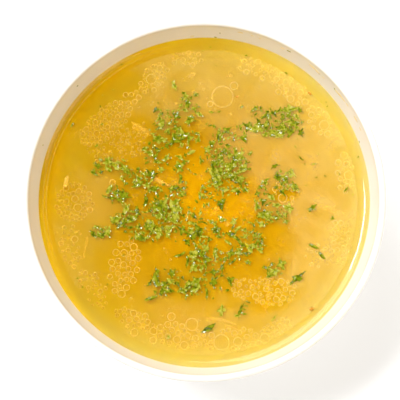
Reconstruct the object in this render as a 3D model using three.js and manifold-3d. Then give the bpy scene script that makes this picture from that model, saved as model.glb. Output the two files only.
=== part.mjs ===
// A round white porcelain bowl of vegetable broth, strewn with chopped parsley.
// Millimetres, +Z up. The origin is the middle of the foot's underside.
//
// The bowl is one turned wall with a rounded lip and a foot ring. The broth fills it to a level a little
// under the lip and climbs the wall in a meniscus. The larger flakes of parsley float half sunk in the
// broth and are one solid with it.
import * as THREE from "three";
import { mergeVertices } from "three/addons/utils/BufferGeometryUtils.js";
import Module from "manifold-3d";

// The bowl
const BOWL_HEIGHT = 62;
const OUTER_RADIUS = 75; // the widest point, just under the lip
const LIP_WIDTH = 3;
const WALL_POWER = 4.5; // how flat the floor is and how steep the side: 2 is a paraboloid
const INNER_FLOOR = 8; // height of the floor that the broth lies on
const OUTER_FLOOR = 4; // height that the outer curve aims for at the axis
const FOOT_OUTER = 36.5;
const FOOT_INNER = 32;
const FOOT_HOLLOW = 3.4; // height of the underside inside the foot ring
const FOOT_ROUNDING = 0.7;
const FOOT_FLARE = 1.5; // how much wider the foot is where it meets the bowl
const ROUND_STEPS = 64; // facets round the bowl and the broth
const WALL_STEPS = 8;
const POINT_SPACING = 2.5; // 1 spaces a wall's points evenly by radius, and more crowds them to the side
const LIP_STEPS = 6;

// The broth
const BROTH_LEVEL = 49.2;
const MENISCUS_RISE = 1.6;
const MENISCUS_REACH = 2; // the rise falls to a third over this distance from the wall
const MENISCUS_STEPS = 4;
const WALL_GAP = 0.3;

// The chopped parsley: how it fell on the broth. Each tuft has a centre x, y, a half width and a
// half length, and a number of flakes.
const TUFTS = [
  [-6, 39.5, 4.5, 4.5, 12],
  [-16, 34.5, 5, 4.5, 17],
  [-12, 27, 9, 3.5, 16],
  [-20, 18.5, 4.5, 5, 12],
  [-8, 17, 5.5, 5, 9],
  [24, 37, 7, 3.5, 8],
  [35, 33.5, 5, 4.5, 24],
  [29, 29, 3.5, 3, 7],
  [21, 31.5, 6, 2.5, 6],
  [9, 26, 7, 5, 17],
  [9, 17.5, 8, 4.5, 23],
  [10, 9, 7, 5, 22],
  [6, 10.5, 3, 4.5, 12],
  [17, 16, 3, 4, 5],
  [-39, 15.5, 8, 3, 11],
  [-29.5, 10.5, 5, 3.5, 10],
  [-23.5, 9.5, 1.8, 3, 5],
  [-36.5, 3.5, 4.5, 4, 11],
  [-30, -7, 5, 4.5, 16],
  [-25, -12, 6, 3, 9],
  [-18, 3, 7, 3.5, 15],
  [-15.5, -6, 6.5, 5, 33],
  [-10.5, 6, 2.5, 3, 9],
  [-3, -6, 4.5, 4.5, 9],
  [4, 1.5, 5.5, 3.5, 9],
  [-36, -6.5, 2.5, 2.5, 4],
  [-43, -13, 4, 2.2, 8],
  [-20, -12.5, 8, 3, 12],
  [-4, -15, 6, 4, 12],
  [6, -11, 5, 4, 6],
  [16, -12, 5.5, 6, 13],
  [22.5, -17, 3.5, 3.5, 8],
  [-1, -24, 7, 4.5, 20],
  [12, -23, 6.5, 3.5, 11],
  [4, -31.5, 7, 5, 10],
  [-15.5, -34, 6, 4.5, 21],
  [-5, -36.5, 6, 2.5, 11],
  [25.5, 3, 4, 6, 13],
  [33, 8.5, 5, 3.5, 12],
  [27.5, -6, 6.5, 3, 19],
  [28.5, -28, 3.5, 2.5, 7],
];
// Flakes that lie alone: x, y, length, width and heading in degrees.
const STRAYS = [
  [38.5, -31.7, 8, 3.6, 35],
  [15.1, -45, 7, 1.6, 70],
  [7.2, -45, 4.5, 3.8, 80],
  [1.9, -52.4, 6, 2.8, 30],
  [45.2, -18.5, 4.5, 2, -35],
  [48.6, -22.3, 4, 2, -60],
  [44.8, -2.6, 4.6, 2.4, 40],
  [53.3, -6.8, 2, 1.8, 80],
  [-12.4, 48.8, 4.8, 2.2, -70],
  [29.5, 14.9, 4.2, 1.8, 25],
  [-22, -40, 6, 2.2, 10],
  [28.9, -48.2, 3.8, 0.9, 50],
  [40.3, 18.1, 2.4, 1.4, -40],
  [45.7, 15.7, 2.6, 0.9, 10],
  [58.9, 5.1, 2.4, 1.1, 45],
  [3, 37.6, 2.6, 1.2, -10],
  [6.2, 37.7, 2.2, 1, 15],
  [-14.7, -56, 2, 1.6, 80],
];
const FLAKE_SEED = 20;
const TUFT_SCATTER = 1.3; // how far the flakes of a tuft spread, of its half width and half length
const FLAKE_TRIES = 12; // how often a flake looks for a free place
const FLAKE_SPACING = 0.37; // between two flakes, of the sum of their lengths
const SHORTEST_FLAKE = 1.6;
const FLAKE_SPREAD = 3.8; // the longest flake of a tuft is this much longer
const NARROWEST_FLAKE = 0.5; // of its length
const WIDTH_SPREAD = 0.45;
const FUSED_FLAKES = 200; // the largest ones, which are modelled in the solid
const FLAKE_CORNERS = 7;
const FLAKE_SINKS = 0.5; // how deep its underside lies in the broth
const LOWEST_LIFT = 0.15; // how far its edge stands out of the broth
const LIFT_SPREAD = 0.6;

const wasm = await Module();
wasm.setup();

/** A repeatable run of numbers from 0 to 1. */
function stream(seed) {
  let state = Math.imul(seed, 2654435761) >>> 0;
  return () => {
    state = (Math.imul(state, 1664525) + 1013904223) >>> 0;
    return state / 4294967296;
  };
}

/** Radius of a turned wall at a height, for a wall that starts from the axis at its floor's height. */
const wallRadius = (height, floor, rimRadius, rimHeight) =>
  rimRadius * ((height - floor) / (rimHeight - floor)) ** (1 / WALL_POWER);

/** Height of that wall at a radius. */
const wallHeight = (radius, floor, rimRadius, rimHeight) =>
  floor + (rimHeight - floor) * (radius / rimRadius) ** WALL_POWER;

const LIP_ROUND = LIP_WIDTH / 2;
const RIM_HEIGHT = BOWL_HEIGHT - LIP_ROUND;
const INNER_RIM_RADIUS = OUTER_RADIUS - LIP_WIDTH;
const innerRadius = (height) => wallRadius(height, INNER_FLOOR, INNER_RIM_RADIUS, RIM_HEIGHT);
const innerHeight = (radius) => wallHeight(radius, INNER_FLOOR, INNER_RIM_RADIUS, RIM_HEIGHT);
const outerHeight = (radius) => wallHeight(radius, OUTER_FLOOR, OUTER_RADIUS, RIM_HEIGHT);

/** Points of a wall between two radii, closest together where it turns from floor to side. */
function wallPoints(from, to, heightAt, steps) {
  const first = from ** POINT_SPACING;
  const last = to ** POINT_SPACING;
  const points = [];
  for (let i = 1; i < steps; i += 1) {
    const radius = (first + ((last - first) * i) / steps) ** (1 / POINT_SPACING);
    points.push(new THREE.Vector2(radius, heightAt(radius)));
  }
  return points;
}

/** A solid turned about +Z from a profile of (radius, height) points that starts and ends on the axis. */
function turned(profile) {
  return new THREE.LatheGeometry(profile, ROUND_STEPS).rotateX(Math.PI / 2);
}

function bowlProfile() {
  const footTop = outerHeight(FOOT_OUTER + FOOT_FLARE);
  const profile = [
    new THREE.Vector2(0, FOOT_HOLLOW),
    new THREE.Vector2(FOOT_INNER - FOOT_FLARE, FOOT_HOLLOW),
    new THREE.Vector2(FOOT_INNER, FOOT_ROUNDING),
    new THREE.Vector2(FOOT_INNER + FOOT_ROUNDING, 0),
    new THREE.Vector2(FOOT_OUTER - FOOT_ROUNDING, 0),
    new THREE.Vector2(FOOT_OUTER, FOOT_ROUNDING),
    new THREE.Vector2(FOOT_OUTER, footTop - FOOT_FLARE),
    new THREE.Vector2(FOOT_OUTER + FOOT_FLARE, footTop),
    ...wallPoints(FOOT_OUTER + FOOT_FLARE, OUTER_RADIUS, outerHeight, WALL_STEPS),
  ];
  for (let i = 0; i <= LIP_STEPS; i += 1) {
    const angle = (Math.PI * i) / LIP_STEPS;
    profile.push(
      new THREE.Vector2(
        OUTER_RADIUS - LIP_ROUND + LIP_ROUND * Math.cos(angle),
        RIM_HEIGHT + LIP_ROUND * Math.sin(angle),
      ),
    );
  }
  profile.push(
    ...wallPoints(INNER_RIM_RADIUS, 0, innerHeight, WALL_STEPS + 2),
    new THREE.Vector2(0, INNER_FLOOR),
  );
  return profile;
}

/** Height of the broth's surface at a distance from the axis. */
function brothHeight(radius, edgeRadius) {
  return BROTH_LEVEL + MENISCUS_RISE * Math.exp((radius - edgeRadius) / MENISCUS_REACH);
}

function brothProfile() {
  const edgeRadius = innerRadius(BROTH_LEVEL + MENISCUS_RISE) - WALL_GAP;
  const liquidHeight = (radius) => innerHeight(radius + WALL_GAP) + WALL_GAP;
  const profile = [
    new THREE.Vector2(0, INNER_FLOOR + WALL_GAP),
    ...wallPoints(0, edgeRadius, liquidHeight, WALL_STEPS),
    new THREE.Vector2(edgeRadius, brothHeight(edgeRadius, edgeRadius)),
  ];
  for (let i = 1; i <= MENISCUS_STEPS; i += 1) {
    const inward = MENISCUS_REACH * 3 * (i / MENISCUS_STEPS) ** 2;
    const last = i === MENISCUS_STEPS;
    const height = last ? BROTH_LEVEL : brothHeight(edgeRadius - inward, edgeRadius);
    profile.push(new THREE.Vector2(edgeRadius - inward, height));
  }
  profile.push(new THREE.Vector2(0, BROTH_LEVEL));
  return profile;
}

/** Every flake as it fell, in a fixed order, and mostly clear of the others. */
function flakes() {
  const draw = stream(FLAKE_SEED);
  const fallen = STRAYS.map(([x, y, length, width, heading]) => ({
    x, y, length, width, heading: THREE.MathUtils.degToRad(heading),
  }));
  const isClear = (x, y, length) =>
    fallen.every((other) => Math.hypot(x - other.x, y - other.y) > FLAKE_SPACING * (length + other.length));
  for (const [tuftX, tuftY, across, along, count] of TUFTS) {
    for (let i = 0; i < count; i += 1) {
      const size = draw();
      const length = SHORTEST_FLAKE + FLAKE_SPREAD * size * size;
      const width = length * (NARROWEST_FLAKE + WIDTH_SPREAD * draw());
      const heading = Math.PI * draw();
      let x;
      let y;
      for (let attempt = 0; attempt < FLAKE_TRIES; attempt += 1) {
        x = tuftX + TUFT_SCATTER * across * (draw() + draw() - 1);
        y = tuftY + TUFT_SCATTER * along * (draw() + draw() - 1);
        if (isClear(x, y, length)) break;
      }
      fallen.push({ x, y, length, width, heading });
    }
  }
  return fallen;
}

/** One flake as a closed solid: a ragged wavy top over an underside that lies in the broth. */
function flakeGeometry(flake, index) {
  const draw = stream(index + 1);
  const corners = [];
  for (let i = 0; i < FLAKE_CORNERS; i += 1) {
    const angle = (2 * Math.PI * (i + 0.5 * draw())) / FLAKE_CORNERS;
    const reach = 0.65 + 0.45 * draw();
    const along = (flake.length / 2) * reach * Math.cos(angle);
    const across = (flake.width / 2) * reach * Math.sin(angle);
    corners.push({
      x: flake.x + along * Math.cos(flake.heading) - across * Math.sin(flake.heading),
      y: flake.y + along * Math.sin(flake.heading) + across * Math.cos(flake.heading),
      top: BROTH_LEVEL + LOWEST_LIFT + LIFT_SPREAD * draw() ** 2,
    });
  }
  const middle = { x: flake.x, y: flake.y, top: BROTH_LEVEL + LOWEST_LIFT + LIFT_SPREAD / 3 };
  const low = BROTH_LEVEL - FLAKE_SINKS;
  const positions = [];
  const triangle = (...points) => points.forEach((p) => positions.push(...p));
  for (let i = 0; i < FLAKE_CORNERS; i += 1) {
    const a = corners[i];
    const b = corners[(i + 1) % FLAKE_CORNERS];
    triangle([middle.x, middle.y, middle.top], [a.x, a.y, a.top], [b.x, b.y, b.top]);
    triangle([middle.x, middle.y, low], [b.x, b.y, low], [a.x, a.y, low]);
    triangle([a.x, a.y, low], [b.x, b.y, low], [b.x, b.y, b.top]);
    triangle([a.x, a.y, low], [b.x, b.y, b.top], [a.x, a.y, a.top]);
  }
  return new THREE.BufferGeometry().setAttribute(
    "position",
    new THREE.Float32BufferAttribute(positions, 3),
  );
}

function toSolid(geometry) {
  const bare = new THREE.BufferGeometry();
  bare.setAttribute("position", geometry.getAttribute("position"));
  bare.setIndex(geometry.index);
  const merged = mergeVertices(bare, 1e-4);
  return new wasm.Manifold(
    new wasm.Mesh({
      numProp: 3,
      vertProperties: merged.getAttribute("position").array,
      triVerts: new Uint32Array(merged.index.array),
    }),
  );
}

function toGeometry(solid) {
  const { vertProperties, triVerts } = solid.getMesh();
  return new THREE.BufferGeometry()
    .setAttribute("position", new THREE.BufferAttribute(vertProperties, 3))
    .setIndex(new THREE.BufferAttribute(triVerts, 1));
}

/** The broth with the largest flakes grown out of its surface. */
function brothGeometry() {
  const largest = flakes()
    .map((flake, index) => ({ flake, index }))
    .sort((a, b) => b.flake.length * b.flake.width - a.flake.length * a.flake.width)
    .slice(0, FUSED_FLAKES);
  const parts = largest.map(({ flake, index }) => toSolid(flakeGeometry(flake, index)));
  return toGeometry(wasm.Manifold.union([toSolid(turned(brothProfile())), ...parts]));
}

/** A named piece with its own finish. */
function piece(name, geometry, color, roughness) {
  const material = new THREE.MeshStandardMaterial({ color, roughness, metalness: 0 });
  const mesh = new THREE.Mesh(geometry, material);
  mesh.name = name;
  return mesh;
}

const bowlOfBroth = new THREE.Group();
bowlOfBroth.add(piece("bowl", turned(bowlProfile()), 0xf7f4ee, 0.18));
bowlOfBroth.add(piece("broth", brothGeometry(), 0xe0a21a, 0.08));

export default bowlOfBroth;
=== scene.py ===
import math
from functools import partial

import bpy
from mathutils import Euler, Matrix, Vector


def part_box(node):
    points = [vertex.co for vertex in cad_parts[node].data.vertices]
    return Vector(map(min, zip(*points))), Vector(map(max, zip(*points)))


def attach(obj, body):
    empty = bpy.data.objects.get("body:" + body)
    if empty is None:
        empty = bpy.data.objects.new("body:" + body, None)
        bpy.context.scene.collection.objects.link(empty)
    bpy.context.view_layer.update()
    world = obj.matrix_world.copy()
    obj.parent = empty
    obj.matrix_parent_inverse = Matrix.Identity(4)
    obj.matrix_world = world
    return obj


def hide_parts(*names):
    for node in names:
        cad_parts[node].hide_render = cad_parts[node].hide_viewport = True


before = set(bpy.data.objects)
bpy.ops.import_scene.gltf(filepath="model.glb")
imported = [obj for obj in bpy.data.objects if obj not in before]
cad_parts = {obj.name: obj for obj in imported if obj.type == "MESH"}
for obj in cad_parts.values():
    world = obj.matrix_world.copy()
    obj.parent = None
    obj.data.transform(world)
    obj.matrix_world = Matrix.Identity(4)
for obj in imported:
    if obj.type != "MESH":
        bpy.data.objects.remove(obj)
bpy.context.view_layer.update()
bpy.ops.object.select_all(action="DESELECT")


# ---- The bowl ----------------------------------------------------------------------------------
# A soup bowl of white porcelain: one wall, spun on a jigger, fettled to a round lip and a foot ring,
# and dipped in clear glaze. Only the foot is wiped bare, because it stands on the kiln shelf.
MM = 0.001
_, bowl_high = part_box("bowl")
BOWL_HEIGHT = bowl_high.z / MM
OUTER_RADIUS = bowl_high.x / MM
LIP_WIDTH = 3.0
WALL_POWER = 4.5  # how flat the floor is and how steep the side
INNER_FLOOR = 8.0  # height of the floor that the broth lies on
OUTER_FLOOR = 4.0  # height that the outer curve aims for at the axis
FOOT_OUTER = 36.5
FOOT_INNER = 32.0
FOOT_HOLLOW = 3.4  # height of the underside inside the foot ring
FOOT_ROUNDING = 0.7
FOOT_FLARE = 1.5  # how much wider the foot is where it meets the bowl
ROUND_STEPS = 192
WALL_STEPS = 44
LIP_STEPS = 14
POINT_SPACING = 2.5  # 1 spaces a wall's points evenly by radius, and more crowds them to the side
LIP_ROUND = LIP_WIDTH / 2
RIM_HEIGHT = BOWL_HEIGHT - LIP_ROUND
INNER_RIM_RADIUS = OUTER_RADIUS - LIP_WIDTH
PORCELAIN = "#F6F4F0"
THIN_GLAZE = "#F3F0E9"
BARE_PORCELAIN = "#E6DDCC"
GLAZED_ABOVE, BARE_BELOW = 0.9, 0.5  # heights on the foot
POOL_WIDTH = 18.0  # of a thicker patch of glaze
RUB_WIDTH = 3.0
ORANGE_PEEL_WIDTH = 2.5


def wall_height(radius, floor, rim_radius):
    """Height of a turned wall at a radius, in mm."""
    return floor + (RIM_HEIGHT - floor) * (radius / rim_radius) ** WALL_POWER


def inner_radius(height):
    """Radius of the bowl's inside at a height, in mm."""
    return INNER_RIM_RADIUS * ((height - INNER_FLOOR) / (RIM_HEIGHT - INNER_FLOOR)) ** (1 / WALL_POWER)


def wall_section(start, stop, floor, rim_radius, steps, inset=0.0):
    """Section points of a turned wall between two radii, held off it by an inset."""
    points = []
    for i in range(1, steps):
        inner, outer = start**POINT_SPACING, stop**POINT_SPACING
        radius = (inner + (outer - inner) * i / steps) ** (1 / POINT_SPACING)
        points.append((radius, wall_height(radius + inset, floor, rim_radius) + inset))
    return points


def faced_outwards():
    """Turns all the faces of the piece in edit mode outwards, and leaves that mode."""
    bpy.ops.mesh.select_all(action="SELECT")
    bpy.ops.mesh.normals_make_consistent(inside=False)
    bpy.ops.object.mode_set(mode="OBJECT")


def turned(name, section):
    """Draws a section point by point from the axis back to the axis, and spins it into a solid."""
    bpy.ops.mesh.primitive_plane_add(size=MM)
    piece = bpy.context.object
    piece.name = piece.data.name = name
    bpy.ops.object.mode_set(mode="EDIT")
    bpy.ops.mesh.merge(type="CENTER")
    bpy.ops.transform.translate(value=(section[0][0] * MM, 0, section[0][1] * MM))
    for (radius, height), (next_radius, next_height) in zip(section, section[1:]):
        step = ((next_radius - radius) * MM, 0, (next_height - height) * MM)
        bpy.ops.mesh.extrude_region_move(TRANSFORM_OT_translate={"value": step})
    bpy.ops.mesh.select_all(action="SELECT")
    bpy.ops.mesh.spin(steps=ROUND_STEPS, angle=2 * math.pi, center=(0, 0, 0), axis=(0, 0, 1))
    bpy.ops.mesh.select_all(action="SELECT")
    bpy.ops.mesh.remove_doubles(threshold=0.01 * MM)
    faced_outwards()
    bpy.ops.object.transform_apply(location=True, rotation=True, scale=True)
    bpy.ops.object.shade_smooth()
    bpy.ops.object.select_all(action="DESELECT")
    return piece


def arc(centre, radius, start, stop, steps):
    """Points of an arc in the section, from one angle to another in degrees."""
    angles = [math.radians(start + (stop - start) * i / steps) for i in range(steps + 1)]
    return [(centre[0] + radius * math.cos(a), centre[1] + radius * math.sin(a)) for a in angles]


def linear(colour):
    """The scene's linear red, green and blue of an sRGB hex colour, with an alpha of 1."""
    parts = [int(colour[i : i + 2], 16) / 255 for i in (1, 3, 5)]
    return [p / 12.92 if p <= 0.04045 else ((p + 0.055) / 1.055) ** 2.4 for p in parts] + [1.0]


def new_material(name):
    """An empty material, and node() bound to it."""
    made = bpy.data.materials.new(name)
    made.use_nodes = True
    made.node_tree.nodes.clear()
    return made, partial(node, made.node_tree)


def node(tree, kind, inputs=None, stops=None, **settings):
    """Adds a node with its settings. An input is a value, a node whose first output it takes, or the
    (node, output) that it takes. A colour ramp's stops are (position, hex colour) or (position, grey)."""
    made = tree.nodes.new("ShaderNode" + kind)
    for name, value in settings.items():
        setattr(made, name, value)
    for name, value in (inputs or {}).items():
        if isinstance(value, bpy.types.Node):
            value = (value, 0)
        if isinstance(value, tuple) and isinstance(value[0], bpy.types.Node):
            tree.links.new(value[0].outputs[value[1]], made.inputs[name])
        else:
            made.inputs[name].default_value = value
    if stops:
        ramp = made.color_ramp
        while len(ramp.elements) < len(stops):
            ramp.elements.new(1.0)
        for element, (position, colour) in zip(ramp.elements, stops):
            element.position = position
            element.color = linear(colour) if isinstance(colour, str) else (colour, colour, colour, 1)
    return made


def in_millimetres(add):
    """The place on the piece in mm, for patterns of a real size."""
    place = add("TexCoord")
    return add("VectorMath", {0: (place, "Object"), "Scale": 1 / MM}, operation="SCALE")


foot_top = wall_height(FOOT_OUTER + FOOT_FLARE, OUTER_FLOOR, OUTER_RADIUS)
bowl_section = (
    [(0, FOOT_HOLLOW), (FOOT_INNER - FOOT_FLARE - 2, FOOT_HOLLOW)]
    + arc((FOOT_INNER - FOOT_FLARE, FOOT_HOLLOW - FOOT_FLARE), FOOT_FLARE, 90, 10, 5)
    + arc((FOOT_INNER + FOOT_ROUNDING, FOOT_ROUNDING), FOOT_ROUNDING, 180, 270, 4)
    + arc((FOOT_OUTER - FOOT_ROUNDING, FOOT_ROUNDING), FOOT_ROUNDING, 270, 360, 4)
    + arc((FOOT_OUTER + FOOT_FLARE, foot_top - FOOT_FLARE), FOOT_FLARE, 180, 100, 6)
    + wall_section(FOOT_OUTER + FOOT_FLARE, OUTER_RADIUS, OUTER_FLOOR, OUTER_RADIUS, WALL_STEPS)
    + arc((OUTER_RADIUS - LIP_ROUND, RIM_HEIGHT), LIP_ROUND, 0, 180, LIP_STEPS)
    + wall_section(INNER_RIM_RADIUS, 0, INNER_FLOOR, INNER_RIM_RADIUS, WALL_STEPS)
    + [(0, INNER_FLOOR)]
)
bowl = turned("porcelain_bowl", bowl_section)

# Glazed porcelain: a white body under clear glass, so a sharp highlight lies over a soft white. The glaze
# pools faintly, is a little rubbed by spoons, and stops short of the matt foot.
glazed, add = new_material("glazed_porcelain")
in_mm = in_millimetres(add)
height = add("SeparateXYZ", {0: in_mm})
bare = add("MapRange", {0: (height, "Z"), 1: GLAZED_ABOVE, 2: BARE_BELOW})
pooling = add("TexNoise", {"Vector": in_mm, "Scale": 1 / POOL_WIDTH, "Detail": 3.0})
tint = add("ValToRGB", {0: pooling}, stops=[(0.35, THIN_GLAZE), (0.65, PORCELAIN)])
colour = add("Mix", {0: bare, 6: tint, 7: linear(BARE_PORCELAIN)}, data_type="RGBA")
rubbed = add("TexNoise", {"Vector": in_mm, "Scale": 1 / RUB_WIDTH, "Detail": 6.0})
gloss = add("MapRange", {0: rubbed, 1: 0.4, 2: 0.7, 3: 0.07, 4: 0.13})
rough = add("Mix", {0: bare, 2: gloss, 3: 0.75})
peel = add("TexNoise", {"Vector": in_mm, "Scale": 1 / ORANGE_PEEL_WIDTH, "Detail": 1.0})
bump = add("Bump", {"Strength": 0.06, "Distance": 0.1 * MM, "Height": peel})
skin = add("BsdfPrincipled", {
    "Base Color": (colour, 2), "Roughness": rough, "IOR": 1.52, "Normal": bump,
    "Subsurface Weight": 0.15, "Subsurface Radius": (1.0, 0.9, 0.75), "Subsurface Scale": 1.2 * MM,
})
add("OutputMaterial", {"Surface": skin})
bowl.data.materials.append(glazed)
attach(bowl, "root")
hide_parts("bowl")


# ---- The broth's cloudy depths -----------------------------------------------------------------
# Broth of carrot, leek and celeriac, a little cloudy: below a few millimetres it scatters all light back,
# golden orange over the deep middle and yellower where the white wall lies close behind it.
BROTH_LEVEL = 49.2
MENISCUS_RISE = 1.6
MENISCUS_REACH = 2.0  # the rise falls to a third over this distance from the wall
WALL_GAP = 0.3
CLEAR_DEPTH = 1.3  # how far one sees into the broth
EDGE_DEPTH = 0.3  # the same at the wall, which lights the broth from behind
EDGE_REACH = 4.5  # how far from the wall the one passes into the other
BROTH_IOR = 1.34
# The cloud's colours from the middle outwards; and by the wall, painted light and a painted reflection from
# its shaded to its lit side.
GOLDS = [(0.2, "#CCB010"), (0.5, "#B7A11A"), (0.9, "#B8AC44")]
PAINTED_LIGHT_YELLOWS = [(0.05, "#BEA80A"), (0.3, "#AEA45C"), (0.67, "#C6C4A0"), (0.95, "#CCC8B2")]
SHADED_EDGE_PAINTED_LIGHT = "#DAC81C"
CLOUD_WIDTH = 26.0
CLOUD_DRIFT = 22.0  # how far a cloud pushes the golds outwards
GOLDS_REACH = 80.0
YELLOW_FROM, YELLOW_TO = 57.0, 66.0  # radii
EDGE_LIGHT_FROM, EDGE_LIGHT_TO = 65.0, 68.4
DEEP_WANDER, WALL_WANDER = 10.0, 0.8  # how far light wanders within the cloud


def broth_height(radius, edge):
    """Height of the broth's surface at a radius, in mm."""
    return BROTH_LEVEL + MENISCUS_RISE * math.exp((radius - edge) / MENISCUS_REACH)


edge_radius = inner_radius(BROTH_LEVEL + MENISCUS_RISE)
core_radius = inner_radius(BROTH_LEVEL + MENISCUS_RISE - EDGE_DEPTH) + 0.1


def core_height(radius):
    """Height at which the cloud closes, in mm."""
    shallow = math.exp((radius - core_radius) / EDGE_REACH)
    return broth_height(radius, edge_radius) - CLEAR_DEPTH + (CLEAR_DEPTH - EDGE_DEPTH) * shallow


core_section = (
    [(0, INNER_FLOOR + WALL_GAP)]
    + wall_section(0, core_radius - 1.5, INNER_FLOOR, INNER_RIM_RADIUS, 30, WALL_GAP)
    + [(core_radius - 0.4, core_height(core_radius) - 2.4)]
    + [
        (core_radius - inward, core_height(core_radius - inward))
        for inward in (0, 0.3, 0.7, 1.2, 2, 3, 4.5, 6.5, 9, 13, 18)
    ]
    + [(radius, BROTH_LEVEL - CLEAR_DEPTH) for radius in (40, 20, 0)]
)
depths = turned("broth_depths", core_section)


def seen_from_above(add, in_mm):
    """The place without its height, and its distance from the axis."""
    flat = add("VectorMath", {0: in_mm, 1: (1, 1, 0)}, operation="MULTIPLY")
    return flat, add("VectorMath", {0: flat}, operation="LENGTH")


cloudy, add = new_material("cloudy_broth")
in_mm = in_millimetres(add)
flat, from_axis = seen_from_above(add, in_mm)
clouds = add("TexNoise", {"Vector": in_mm, "Scale": 1 / CLOUD_WIDTH, "Detail": 2.0, "Distortion": 0.6})
drift = add("Math", {0: clouds, 1: CLOUD_DRIFT}, operation="MULTIPLY")
spread = add("Math", {0: (from_axis, "Value"), 1: drift}, operation="ADD")
along = add("MapRange", {0: spread, 1: 0.0, 2: GOLDS_REACH})
gold = add("ValToRGB", {0: along}, stops=GOLDS)
# Painted light: the golds are darker at the back on the left and lighter towards the front on the right.
sunk = add("VectorMath", {0: in_mm, 1: (0.8, -0.6, 0)}, operation="DOT_PRODUCT")
painted_light_front_right = add("MapRange", {0: (sunk, "Value"), 1: -50.0, 2: 50.0, 3: 0.88, 4: 1.07})
gold_here = add("VectorMath", {0: gold, "Scale": painted_light_front_right}, operation="SCALE")
at_wall = add(
    "MapRange", {0: (from_axis, "Value"), 1: YELLOW_FROM, 2: YELLOW_TO},
    interpolation_type="SMOOTHSTEP",
)
# Painted light: by the wall the yellow is made strong on the shaded side, and brighter still at the back,
# to make up for the rim's own shadow; on the lit side it is paler and bluer, a painted reflection.
across = add("VectorMath", {0: in_mm, 1: (0.9, -0.44, 0)}, operation="DOT_PRODUCT")
lit_side = add("MapRange", {0: (across, "Value"), 1: -66.0, 2: 66.0})
yellow = add("ValToRGB", {0: lit_side}, stops=PAINTED_LIGHT_YELLOWS)
towards_back = add("SeparateXYZ", {0: in_mm})
painted_light_at_back = add("MapRange", {0: (towards_back, "Y"), 1: 46.0, 2: 66.0, 3: 1.0, 4: 1.24})
painted_yellow_here = add("VectorMath", {0: yellow, "Scale": painted_light_at_back}, operation="SCALE")
near_wall = add("Mix", {0: at_wall, 6: gold_here, 7: painted_yellow_here}, data_type="RGBA")
# Painted light: the last few millimetres by the wall are lightened on its shaded side, where the rim's
# shadow falls.
edge_band = add("MapRange", {0: (from_axis, "Value"), 1: EDGE_LIGHT_FROM, 2: EDGE_LIGHT_TO})
in_shadow = add("MapRange", {0: lit_side, 1: 0.5, 2: 0.1})
painted_edge_light = add("Math", {0: edge_band, 1: in_shadow}, operation="MULTIPLY")
colour = add("Mix", {0: painted_edge_light, 6: (near_wall, 2), 7: linear(SHADED_EDGE_PAINTED_LIGHT)}, data_type="RGBA")
# Light wanders far in the deep middle, and is caught early near the wall.
wander = add(
    "MapRange",
    {0: (from_axis, "Value"), 1: 34.0, 2: 62.0, 3: DEEP_WANDER * MM, 4: WALL_WANDER * MM},
)
skin = add("BsdfPrincipled", {
    "Base Color": (colour, 2), "Roughness": 0.6, "IOR": BROTH_IOR, "Specular IOR Level": 0.0,
    "Subsurface Weight": 1.0, "Subsurface Radius": (1.0, 0.8, 0.3), "Subsurface Scale": wander,
})
add("OutputMaterial", {"Surface": skin})
depths.data.materials.append(cloudy)
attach(depths, "root")
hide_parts("broth")


# ---- The broth's clear top ---------------------------------------------------------------------
# The clear golden liquid over the depths, level but for the meniscus that climbs the wall. A thin pale
# film, partly fat and partly a painted sheen, covers it, broken open round the parsley, and stops where the
# meniscus begins.
INTO_WALL = 0.4  # so that no gap shows
CLEAR_BOTTOM = BROTH_LEVEL - CLEAR_DEPTH - 0.2
FILM_RADIUS = 64.2
FILM_EDGE = 1.2
FILM_AND_SHEEN_COLOUR = "#F6D984"
FILM_WEIGHT = 0.25  # of its colour over what lies under it
FROTH_WEIGHT = 0.12
FROTH_WIDTH = 1.1  # of a ring in the froth
FROTH_PATCH = 13.0
TEAR_WIDTH, TEAR_DEPTH = 9.0, 1.1  # of the film's ragged edge
FILM_OPENS, FILM_CLOSES = 1.25, 2.15  # from the middle of a pool, of its half width
SWIRL_WIDTH = 24.0
RIPPLE_WIDTH = 6.0
REFLECTED_LINE_RADII = (65.6, 66.9)  # radii
REFLECTED_LINE_WEIGHT = 0.14
# Where the film is broken open: centre x, y, half width and half length.
POOLS = [
    [-50, 37, 15, 17], [-38, 50, 13, 8], [-61, 12, 8, 17], [-40, 20, 14, 8], [-9, 20, 12, 14],
    [-24, 6, 13, 12], [2, -2, 20, 15], [2, -26, 28, 16], [-24, -19, 17, 15], [20, -14, 15, 13],
    [26, -38, 11, 7], [33, 4, 6, 4], [-46, -46, 12, 9], [-34, -29, 10, 15], [-29, 27, 11, 9],
]


def lets_light_by(add, skin, share=1.0):
    """A skin through which a share of the light goes on to what lies under it, without bending."""
    passing = add("BsdfTransparent")
    path = add("LightPath")
    let_by = add("Math", {0: (path, "Is Shadow Ray"), 1: share}, operation="MULTIPLY")
    return add("MixShader", {0: let_by, 1: skin, 2: passing})


surface = [(radius, BROTH_LEVEL) for radius in (0, 20, 40, 52)]
surface += [
    (edge_radius - inward, broth_height(edge_radius - inward, edge_radius))
    for inward in [9 * (1 - i / 18) ** 1.6 for i in range(18)] + [0.0]
]
side = [
    (inner_radius(height) + INTO_WALL, height)
    for height in (BROTH_LEVEL + MENISCUS_RISE, BROTH_LEVEL, BROTH_LEVEL - 1.5, CLEAR_BOTTOM)
]
top = turned("broth_surface", surface + side + [(0, CLEAR_BOTTOM)])

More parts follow.
